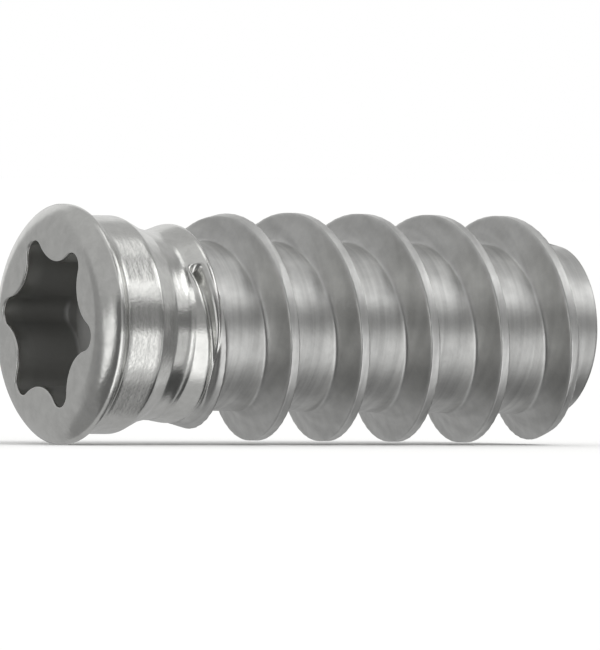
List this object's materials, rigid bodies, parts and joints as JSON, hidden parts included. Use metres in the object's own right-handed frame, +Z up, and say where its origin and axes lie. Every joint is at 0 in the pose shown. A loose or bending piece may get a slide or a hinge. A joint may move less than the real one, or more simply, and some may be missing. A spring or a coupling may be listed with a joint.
{
  "type": "connecting screw",
  "caption": "Short cabinet connecting screw with a low domed head, a star recess, a waisted neck, a coarse right-hand thread and a blunt tip.",
  "frame": {"origin": "on the screw's axis, in the plane of the head's front face, at the mouth of the star recess", "axes": "+X along the screw's axis from the head to the tip, +Z up, the screw lying on its side"},
  "size_m": [0.0154, 0.0062, 0.0062],
  "materials": {
    "plated_steel": "bright zinc plating over cold-formed steel, satin, with faint lines round the axis"
  },
  "bodies": {
    "root": {"screw": "plated_steel"}
  },
  "joints": []
}
